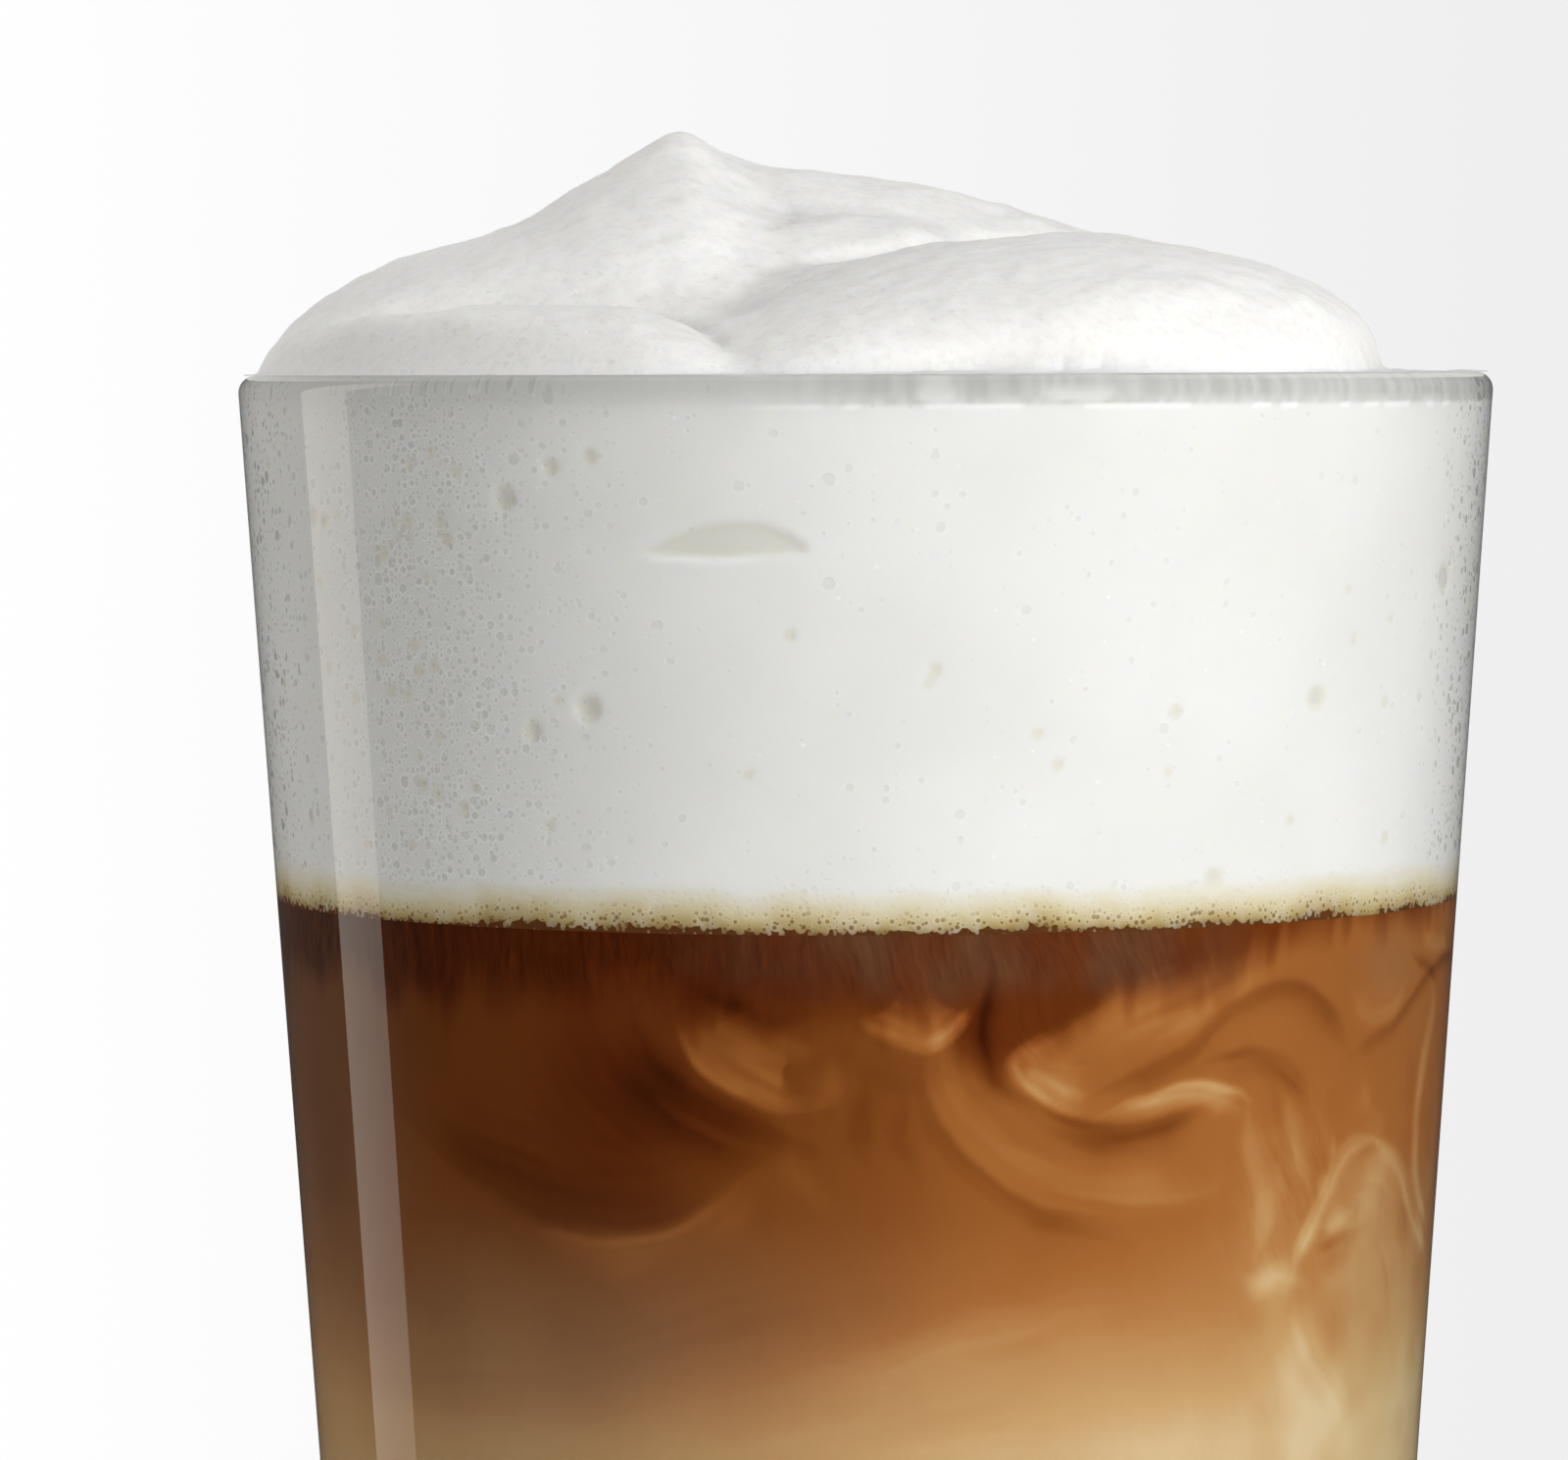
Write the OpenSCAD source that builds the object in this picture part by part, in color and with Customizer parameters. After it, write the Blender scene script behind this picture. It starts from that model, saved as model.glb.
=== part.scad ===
// Iced latte in a tall tapered glass: milk below, coffee above, and a heaped head of milk foam.
// Millimetres, +Z up. The glass stands on the plane z = 0 and its axis is the Z axis.
// The side that faces -Y is the front.

/* [Glass] */
// Outside diameter at the rim
rim_d = 82; // [78:0.5:90]
// Outside diameter at the foot
foot_d = 62.5; // [58:0.5:68]
// Height of the glass
glass_h = 140; // [125:1:155]
// Thickness of the wall
wall_t = 2.2; // [1.8:0.1:3]
// Thickness of the glass under the drink
base_t = 8; // [6:0.5:12]
// Radius of the corner between the wall and the floor inside
floor_corner_r = 5; // [3:0.5:8]
// Radius of the corner at the foot outside
foot_corner_r = 2; // [1:0.5:4]
// Radius of the shallow hollow under the foot
punt_r = 23; // [15:0.5:25]
// Depth of the hollow under the foot
punt_h = 1.2; // [0.5:0.1:2.5]

/* [Drink] */
// Height of the top of the milk above the table
milk_top_z = 80; // [60:1:95]
// Height of the top of the coffee, where the foam starts
coffee_top_z = 106; // [100:1:115]

/* [Foam head] */
// Height of the pulled-up tip above the rim
tip_rise = 15.7; // [12:0.1:18]
// Height of the tongue that lies over the top, above the rim
tongue_rise = 14.4; // [11:0.1:17]
// Height of the large lobe at the front right, above the rim
lobe_rise = 9.1; // [7:0.1:12]
// Height of the shoulder at the left, above the rim
shoulder_rise = 9.6; // [6:0.1:11]
// Height of the broad body of the foam above the rim
body_rise = 7.3; // [5:0.1:9]
// Height of the low roll at the front left, above the rim
roll_rise = 4.9; // [3:0.1:6]
// Width left bare along the outer edge of the rim
rim_margin = 0.4; // [0.2:0.1:1.5]

/* [Hidden] */

$fn = 96;
rim_r = rim_d / 2;
foot_r = foot_d / 2;
taper = (rim_r - foot_r) / glass_h;      // how much the radius grows for each millimetre of height
half_angle = atan(taper);                // the wall's lean from the vertical
wall_w = wall_t / cos(half_angle);       // the wall's thickness measured level

// The rim is a full round: the centre of its circle, and where the wall's two faces run into it
lip_r = wall_t / 2;
lip_c = [outer_r(glass_h - lip_r) - lip_r / cos(half_angle), glass_h - lip_r];
lip_reach = lip_r * [cos(half_angle), -sin(half_angle)];
lip_outer = lip_c + lip_reach;
lip_inner = lip_c - lip_reach;

// Number of points round the foam
foam_sides = 80;
// Number of rings on the foam's top
foam_rings = 34;
// Height of the foam's underside where it lies on the rim
over_rim_z = glass_h + 0.05;
// Outer radius of the foam that lies on the rim
foam_edge_r = rim_r - rim_margin;
// Thickness of the foam at its edge on the rim
edge_rise = 0.3;
// How steeply the foam climbs from its edge
edge_steep = 1.3;

// The lobes of the foam's top. Each has a centre, half sizes along its two axes and a turn.
// square is 2 for an oval outline and more for a squarer one. full is 0.5 for a ball's
// shoulder, less for a flatter top and more for a more pointed one.
body_c = [-3.5, 0.5];
body_half = [36, 39.2];
body_square = 2.1;
body_full = 0.42;
shoulder_c = [-20, 5];
shoulder_half = [19.4, 26];
shoulder_full = 0.66;
roll_c = [-20, -22];
roll_half = [22.5, 13.5];
roll_turn = -24;
roll_square = 2.6;
roll_full = 0.42;
lobe_c = [7.7, -8];
lobe_half = [24.7, 29];
lobe_turn = 8;
lobe_square = 2.24;
lobe_full = 0.4;
// Left of this x the large lobe sinks, ever faster
lobe_sink_x = 15;
lobe_sink = 0.0066;
// The pulled-up tip: its middle, its slope, how blunt it is, and how it is squeezed
tip_c = [-11.4, 3];
tip_slope = 0.66;
tip_blunt = 2;
tip_right_squeeze = 1.75;
tip_deep_stretch = 1.35;
// The tongue's crest starts here and turns back by this much for each millimetre to the right
tongue_start = [-11, 7];
tongue_turn = 0.12;
tongue_fall = 0.025;
tongue_bend = 0.0061;
// How far in front of and behind the crest the tongue's sides fall by the given drops
tongue_front = 12;
tongue_front_drop = 8.6;
tongue_back = 16;
tongue_back_drop = 6;
tongue_end_drop = 0.24;
// The soft hollow between the roll and the lobe
hollow_c = [-5, -19];
hollow_half = [8, 9];
hollow_depth = 1.7;
// How widely the lobes melt into each other, and how crisp the creases are
melt = 1.6;
crease = 0.4;

function outer_r(z) = foot_r + taper * z;
function inner_r(z) = outer_r(z) - wall_w;

// Larger of two heights, blended over the band k
function blend_max(a, b, k) =
    let (t = max(0, min(1, 0.5 + 0.5 * (a - b) / k)))
    b + (a - b) * t + k * t * (1 - t);
function blend_min(a, b, k) = -blend_max(-a, -b, k);

// A dome of height rise over an oval. Past the oval it runs on downwards.
function dome(x, y, c, half, turn, rise, square, full) =
    let (u = ((x - c.x) * cos(turn) + (y - c.y) * sin(turn)) / half.x,
         v = ((y - c.y) * cos(turn) - (x - c.x) * sin(turn)) / half.y,
         q = pow(pow(abs(u), square) + pow(abs(v), square), 1 / square))
    q < 1 ? rise * pow(1 - q * q, full) : -1.2 * rise * (q - 1);

function body_z(x, y) = dome(x, y, body_c, body_half, 0, body_rise, body_square, body_full);
function shoulder_z(x, y) = dome(x, y, shoulder_c, shoulder_half, 0, shoulder_rise, 2, shoulder_full);
function roll_z(x, y) = dome(x, y, roll_c, roll_half, roll_turn, roll_rise, roll_square, roll_full);

// The tip is a cone with a rounded point, and its right side is the steeper one
function tip_z(x, y) =
    let (dx = (x - tip_c.x) * (x > tip_c.x ? tip_right_squeeze : 1), dy = (y - tip_c.y) / tip_deep_stretch)
    tip_rise + tip_slope * (tip_blunt - norm([dx, dy, tip_blunt]));

// The lobe sinks towards its left end
function lobe_z(x, y) =
    dome(x, y, lobe_c, lobe_half, lobe_turn, lobe_rise, lobe_square, lobe_full)
    - lobe_sink * pow(max(0, lobe_sink_x - x), 2);

// The tongue's crest runs from the tip to the right and falls off on both sides
function tongue_z(x, y) =
    let (along = x - tongue_start.x,
         crest_y = tongue_start.y + tongue_turn * along,
         front = max(0, (crest_y - y) / tongue_front),
         back = max(0, (y - crest_y) / tongue_back),
         crest = tongue_rise - tongue_fall * along - tongue_bend * along * along)
    crest - tongue_front_drop * pow(front, 2.2) - tongue_back_drop * back * back
    - tongue_end_drop * pow(max(0, -along), 1.5);

function hollow(x, y) =
    hollow_depth * exp(-pow((x - hollow_c.x) / hollow_half.x, 2) - pow((y - hollow_c.y) / hollow_half.y, 2));

// Height that the foam may reach near its edge
function edge_z(r) = edge_rise + edge_steep * max(0, foam_edge_r - r);

// Height of the foam's top above the rim
function head_z(x, y) =
    let (back_part = blend_max(blend_max(body_z(x, y), shoulder_z(x, y), 2), tip_z(x, y), melt),
         with_lobe = blend_max(back_part - hollow(x, y), lobe_z(x, y), melt),
         with_tongue = blend_max(with_lobe, tongue_z(x, y), crease),
         all_lobes = blend_max(with_tongue, roll_z(x, y), crease))
    max(edge_rise, blend_min(all_lobes, edge_z(norm([x, y])), melt));

// Centre of a circle of radius r that sits in the corner between the level floor_z and a leaning
// wall, where wall_x is the wall's radius at the height of that centre
function corner_c(floor_z, wall_x, r) = [wall_x - r / cos(half_angle), floor_z + r];

// One side of the space inside the glass, from the axis to the wall
module inside_outline() {
    r = floor_corner_r;
    c = corner_c(base_t, inner_r(base_t + r), r);
    top_z = glass_h + 5;
    polygon([[0, base_t], [c.x, base_t], c, c + r * [cos(half_angle), -sin(half_angle)],
             [inner_r(top_z), top_z], [0, top_z]]);
    translate(c) circle(r);
}

// One side of the glass's outer shape, from the axis to the outer face
module outside_outline() {
    r = foot_corner_r;
    c = corner_c(0, outer_r(r), r);
    polygon([[0, 0], [c.x, 0], c, c + r * [cos(half_angle), -sin(half_angle)],
             lip_outer, lip_inner, [0, lip_inner.y]]);
    translate(c) circle(r);
}

// The drink between two heights, filled out to the glass
module layer(low_z, high_z) {
    rotate_extrude() intersection() {
        inside_outline();
        translate([0, low_z]) square([rim_r, high_z - low_z]);
    }
}

module glass() {
    punt_sphere_r = (punt_r * punt_r + punt_h * punt_h) / (2 * punt_h);
    color([0.86, 0.90, 0.92, 0.4])
    difference() {
        rotate_extrude() {
            difference() {
                outside_outline();
                inside_outline();
            }
            translate(lip_c) circle(lip_r);
        }
        translate([0, 0, punt_h - punt_sphere_r]) sphere(punt_sphere_r);
    }
}

module milk() {
    color([0.85, 0.74, 0.55]) layer(base_t, milk_top_z);
}

module coffee() {
    color([0.43, 0.20, 0.07]) layer(milk_top_z, coffee_top_z);
}

// The foam fills the glass above the coffee, lies over the rim and heaps up above it.
// It is one closed skin: rings up the side and over the rim, then rings inwards over the top.
module foam() {
    side = [[inner_r(coffee_top_z), coffee_top_z], lip_inner,
            [lip_inner.x, over_rim_z], [foam_edge_r, over_rim_z]];
    side_points = [for (s = side, i = [0:foam_sides - 1])
        let (a = 360 * i / foam_sides) [s.x * cos(a), s.x * sin(a), s.y]];
    top_points = [for (k = [0:foam_rings - 1], i = [0:foam_sides - 1])
        let (a = 360 * i / foam_sides, r = foam_edge_r * (1 - k / foam_rings),
             x = r * cos(a), y = r * sin(a))
        [x, y, glass_h + head_z(x, y)]];
    rings = len(side) + foam_rings;
    top_centre = rings * foam_sides;
    under_centre = top_centre + 1;
    skin = [for (k = [0:rings - 2], i = [0:foam_sides - 1])
        let (j = (i + 1) % foam_sides, low = k * foam_sides, high = low + foam_sides)
        each [[low + i, high + i, high + j], [low + i, high + j, low + j]]];
    caps = [for (i = [0:foam_sides - 1])
        let (j = (i + 1) % foam_sides, last = (rings - 1) * foam_sides)
        each [[last + i, top_centre, last + j], [j, under_centre, i]]];
    color([0.96, 0.94, 0.90])
    polyhedron(concat(side_points, top_points,
                      [[0, 0, glass_h + head_z(0, 0)], [0, 0, coffee_top_z]]),
               concat(skin, caps));
}

glass();
milk();
coffee();
foam();
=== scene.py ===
"""Looks for an iced latte in a tall tapered glass: clear glass, coffee marbled with milk, a head of foam.

Shapes are worked out in millimetres in the frame of the CAD model, and become metres when a mesh is made.
An azimuth is in degrees round the glass's axis: 0 faces the front (-Y) and 90 faces right (+X).
"""

import math

import bpy
import numpy as np
from mathutils import Euler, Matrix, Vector


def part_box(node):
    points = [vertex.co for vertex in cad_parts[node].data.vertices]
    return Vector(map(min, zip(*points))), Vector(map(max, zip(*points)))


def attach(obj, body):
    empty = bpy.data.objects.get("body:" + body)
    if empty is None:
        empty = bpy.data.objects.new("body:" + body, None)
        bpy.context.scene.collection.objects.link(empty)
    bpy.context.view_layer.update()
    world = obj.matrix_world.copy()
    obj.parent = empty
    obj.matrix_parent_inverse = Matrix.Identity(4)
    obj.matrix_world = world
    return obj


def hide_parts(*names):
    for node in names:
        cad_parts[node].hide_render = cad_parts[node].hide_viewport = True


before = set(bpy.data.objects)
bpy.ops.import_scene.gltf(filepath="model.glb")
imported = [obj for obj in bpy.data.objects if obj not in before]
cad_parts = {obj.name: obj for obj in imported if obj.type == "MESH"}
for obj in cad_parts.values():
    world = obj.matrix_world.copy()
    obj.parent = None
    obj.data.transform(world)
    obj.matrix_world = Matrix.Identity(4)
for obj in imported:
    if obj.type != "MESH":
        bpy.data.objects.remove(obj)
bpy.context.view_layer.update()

MM = 0.001

# ---------------------------------------------------------------- sizes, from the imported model

_, glass_high = (np.array(corner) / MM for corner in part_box("glass"))
milk_low, milk_high = (np.array(corner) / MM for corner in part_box("milk"))
_, coffee_high = (np.array(corner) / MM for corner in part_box("coffee"))
_, foam_high = (np.array(corner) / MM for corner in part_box("foam"))

GLASS_H = glass_high[2]
WALL_T = 2.2                     # thickness of the glass wall
LIP_R = WALL_T / 2               # the rim is a full round
FLOOR_Z = milk_low[2]            # top of the glass's thick base
MILK_TOP_Z = milk_high[2]
COFFEE_TOP_Z = coffee_high[2]
TAPER = (coffee_high[0] - milk_high[0]) / (COFFEE_TOP_Z - MILK_TOP_Z)
HALF_ANGLE = math.atan(TAPER)
FLOOR_CORNER_R = 5.0
FOOT_CORNER_R = 2.0
PUNT_R = 23.0                    # the shallow hollow under the foot
PUNT_H = 1.2
FOAM_EDGE_R = foam_high[0]       # where the foam ends on the rim
FINE_ROWS = 27.0                 # how far down from its top a layer of the drink has fine rows
REACH = 0.15                     # how far what fills the glass reaches into the wall
FRONT_HALF = 100.0               # the front, with its finer meshes, reaches this far round to each side
DRINK_R = 36.0                   # radius at which looks that lie against the glass are laid out
SKIN = 0.08                      # least thickness of the foam over the rim
SKIRT_DEPTH = 2.5                # how far the heap's underside goes down into the glass
TIP_X = -11.9                    # the heap's tip, and its height above the rim
TIP_H = 15.7
GAP_AZ = -14.0                   # the long gap in the foam


def inner_r(z):
    """Radius of the glass's inner face at height z."""
    return coffee_high[0] + TAPER * (z - COFFEE_TOP_Z)


def outer_r(z):
    """Radius of the glass's outer face at height z."""
    return inner_r(z) + WALL_T / math.cos(HALF_ANGLE)


LIP_C_R = outer_r(GLASS_H - LIP_R) - LIP_R / math.cos(HALF_ANGLE)    # radius of the middle of the rim


# ---------------------------------------------------------------- helpers


def blend_max(a, b, k):
    """Larger of a and b, blended over the band k."""
    t = np.clip(0.5 + 0.5 * (a - b) / k, 0, 1)
    return b + (a - b) * t + k * t * (1 - t)


def blend_min(a, b, k):
    """Smaller of a and b, blended over the band k."""
    return -blend_max(-a, -b, k)


def step(low, high, value):
    """Smooth step from 0 at low to 1 at high."""
    t = np.clip((value - low) / (high - low), 0, 1)
    return t * t * (3 - 2 * t)


def spot(x, y, centre, half, power=2):
    """A soft spot, 1 at its centre. A higher power gives it a flatter top."""
    return np.exp(-((x - centre[0]) / half[0]) ** power - ((y - centre[1]) / half[1]) ** power)


def vectors(x, y, z):
    """Points or vectors from their three parts, any of which may be a single number."""
    return np.stack(np.broadcast_arrays(x, y, z), axis=-1)


def lattice(i, j, k, seed):
    """A repeatable random number from 0 to 1 for each lattice point."""
    h = (i * 374761393 + j * 668265263 + k * 2147483647 + seed * 1274126177) & 0xFFFFFFFF
    h = ((h ^ (h >> 13)) * 1274126177) & 0xFFFFFFFF
    h = ((h ^ (h >> 16)) * 2246822519) & 0xFFFFFFFF
    return ((h ^ (h >> 15)) & 0xFFFFFF) / float(0xFFFFFF)


def noise(points, size, seed):
    """Smooth noise from -1 to 1 whose features are about size millimetres across."""
    p = points / size
    base = np.floor(p).astype(np.int64)
    f = p - base
    f = f * f * f * (f * (f * 6 - 15) + 10)
    total = 0
    for dx in (0, 1):
        wx = f[..., 0] if dx else 1 - f[..., 0]
        for dy in (0, 1):
            wy = f[..., 1] if dy else 1 - f[..., 1]
            for dz in (0, 1):
                wz = f[..., 2] if dz else 1 - f[..., 2]
                total = total + wx * wy * wz * lattice(
                    base[..., 0] + dx, base[..., 1] + dy, base[..., 2] + dz, seed)
    return total * 2 - 1


def round_points(azimuth, r, z):
    """Points at the given azimuths (degrees), radii and heights."""
    a = np.radians(azimuth)
    return vectors(r * np.sin(a), -r * np.cos(a), z)


def make_piece(name, points, faces, material):
    """A mesh object in metres from points in millimetres."""
    mesh = bpy.data.meshes.new(name)
    mesh.from_pydata((np.asarray(points) * MM).tolist(), [], [list(map(int, f)) for f in faces])
    mesh.validate()
    mesh.shade_smooth()
    mesh.set_sharp_from_angle(angle=math.radians(60))
    mesh.materials.append(material)
    piece = bpy.data.objects.new(name, mesh)
    bpy.context.scene.collection.objects.link(piece)
    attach(piece, "root")
    return piece


def closed_faces(rows, columns):
    """Faces between rows of points round the axis, closed by two last points: one below, one above."""
    faces = []
    for row in range(rows - 1):
        low = row * columns
        for i in range(columns):
            j = (i + 1) % columns
            faces.append((low + i, low + j, low + columns + j, low + columns + i))
    last = (rows - 1) * columns
    below, above = rows * columns, rows * columns + 1
    for i in range(columns):
        j = (i + 1) % columns
        faces.append((below, j, i))
        faces.append((above, last + i, last + j))
    return faces


def azimuths(front_step, back_step):
    """Azimuths all round, finer over the front and coarser behind."""
    front = np.linspace(-FRONT_HALF, FRONT_HALF, int(2 * FRONT_HALF / front_step) + 1)
    back_span = 360 - 2 * FRONT_HALF
    back = FRONT_HALF + np.linspace(0, back_span, int(back_span / back_step) + 1)[1:-1]
    return np.concatenate([front, back])


def wrap(azimuth):
    """The azimuth from -180 to 180."""
    return (azimuth + 180) % 360 - 180


def mirrored(azimuth):
    """The azimuth of the same place on the front half, for what the back repeats in mirror image."""
    az = wrap(azimuth)
    return np.where(np.abs(az) > 90, np.sign(az) * 180 - az, az)


def add_values(piece, name, values):
    """Stores one number for each point, for the piece's material to read."""
    made = piece.data.attributes.new(name, "FLOAT", "POINT")
    made.data.foreach_set("value", np.asarray(values, dtype=np.float32).ravel())


def add_vectors(piece, name, values):
    """Stores one vector for each point, for the piece's material to read."""
    made = piece.data.attributes.new(name, "FLOAT_VECTOR", "POINT")
    made.data.foreach_set("vector", np.asarray(values, dtype=np.float32).ravel())


# ---------------------------------------------------------------- node helpers


class Nodes:
    """Short calls for building the node tree of a material or a world."""

    def __init__(self, owner, out_kind="ShaderNodeOutputMaterial"):
        self.owner = owner
        self.owner.use_nodes = True
        self.tree = self.owner.node_tree
        self.tree.nodes.clear()
        self.out = self.tree.nodes.new(out_kind)

    def add(self, kind, inputs=None, **settings):
        node = self.tree.nodes.new(kind)
        for key, value in settings.items():
            setattr(node, key, value)
        for key, value in (inputs or {}).items():
            self.put(node.inputs[key], value)
        return node

    def put(self, socket, value):
        if isinstance(value, bpy.types.NodeSocket):
            self.tree.links.new(value, socket)
        else:
            socket.default_value = value

    def math(self, operation, a, b=0.0, clamp=False):
        node = self.add("ShaderNodeMath", {0: a, 1: b}, operation=operation, use_clamp=clamp)
        return node.outputs[0]

    def times(self, a, b):
        return self.math("MULTIPLY", a, b)

    def plus(self, a, b):
        return self.math("ADD", a, b)

    def minus(self, a, b):
        return self.math("SUBTRACT", a, b)

    def larger(self, a, b):
        return self.math("MAXIMUM", a, b)

    def remap(self, value, low, high, to_low=0.0, to_high=1.0, smooth=True):
        node = self.add("ShaderNodeMapRange", {
            "Value": value, "From Min": low, "From Max": high, "To Min": to_low, "To Max": to_high},
            interpolation_type="SMOOTHSTEP" if smooth else "LINEAR")
        return node.outputs[0]

    def mix(self, factor, a, b, blend="MIX"):
        node = self.add("ShaderNodeMix", data_type="RGBA", blend_type=blend)
        self.put(node.inputs[0], factor)
        self.put(node.inputs[6], a)
        self.put(node.inputs[7], b)
        return node.outputs[2]

    def ramp(self, value, stops):
        node = self.add("ShaderNodeValToRGB", {0: value})
        band = node.color_ramp
        band.elements[0].position, band.elements[0].color = stops[0][0], (*stops[0][1], 1)
        band.elements[1].position, band.elements[1].color = stops[-1][0], (*stops[-1][1], 1)
        for place, colour in stops[1:-1]:
            band.elements.new(place).color = (*colour, 1)
        return node.outputs[0]

    def noise(self, vector, scale, detail=2.0, rough=0.5):
        node = self.add("ShaderNodeTexNoise", {
            "Vector": vector, "Scale": scale, "Detail": detail, "Roughness": rough})
        return node.outputs[0]

    def cells(self, vector, scale):
        return self.add("ShaderNodeTexVoronoi", {"Vector": vector, "Scale": scale}, voronoi_dimensions="2D")

    def value(self, name):
        """The number that the mesh stores under this name."""
        return self.add("ShaderNodeAttribute", attribute_name=name).outputs["Fac"]

    def vector(self, name):
        """The vector that the mesh stores under this name."""
        return self.add("ShaderNodeAttribute", attribute_name=name).outputs["Vector"]

    def bump(self, height, strength, distance):
        node = self.add("ShaderNodeBump", {"Height": height, "Strength": strength, "Distance": distance})
        return node.outputs[0]

    def finish(self, shader):
        self.put(self.out.inputs["Surface"], shader)
        return self.owner


# ---------------------------------------------------------------- materials


def glass_material():
    """Clear glass that lets lamps light what is behind it."""
    n = Nodes(bpy.data.materials.new("clear_glass"))
    glass = n.add("ShaderNodeBsdfPrincipled", {
        "Base Color": (0.985, 0.99, 0.985, 1), "Roughness": 0.0, "IOR": 1.5,
        "Transmission Weight": 1.0})
    open_air = n.add("ShaderNodeBsdfTransparent", {"Color": (0.94, 0.95, 0.945, 1)})
    path = n.add("ShaderNodeLightPath")
    passes = n.larger(path.outputs["Is Shadow Ray"], path.outputs["Is Diffuse Ray"])
    both = n.add("ShaderNodeMixShader", {0: passes, 1: glass.outputs[0], 2: open_air.outputs[0]})
    return n.finish(both.outputs[0])


def bubbles(n, spread, scale, share, radius, soft):
    """Round bubbles, one in some cells of a cell pattern. Returns (inside, outline), each from 0 to 1.

    share is how many of the cells hold a bubble, and radius is the largest bubble's, in cells."""
    cells = n.cells(spread, scale)
    chance = n.add("ShaderNodeSeparateColor", {0: cells.outputs["Color"]})
    held = n.math("LESS_THAN", chance.outputs[0], share)
    size = n.times(n.plus(n.times(chance.outputs[1], 0.6), 0.4), radius)
    away = n.minus(cells.outputs["Distance"], size)
    inside = n.times(n.remap(away, 0.0, -soft), held)
    off_line = n.math("ABSOLUTE", n.minus(away, 0.5 * soft))
    return inside, n.times(n.remap(off_line, soft, 0.0), held)


# The lowest foam, from hardly stained at 0 to coffee at 1
CREMA_RAMP = [
    (0.00, (0.87, 0.85, 0.80)),
    (0.35, (0.80, 0.75, 0.62)),
    (0.62, (0.68, 0.58, 0.35)),
    (0.85, (0.46, 0.34, 0.14)),
    (1.00, (0.24, 0.14, 0.045)),
]
FOAM_SHADE = (0.45, 0.45, 0.44, 1)
CAVITY_SHADE = (0.45, 0.44, 0.42, 1)
BUBBLE_SHADE = (0.42, 0.41, 0.37, 1)
BUBBLE_OUTLINE = (0.98, 0.975, 0.965, 1)
EDGE_ON_SHADE = (0.08, 0.08, 0.075, 1)
GLEAM = (1.0, 1.0, 0.99, 1)
HOLLOW_SHADE = (0.78, 0.735, 0.62, 1)
FROTH_INSIDE = (0.20, 0.11, 0.032, 1)
FROTH_OUTLINE = (0.84, 0.76, 0.52, 1)
COFFEE_THROUGH = (0.13, 0.045, 0.012, 1)


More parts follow.
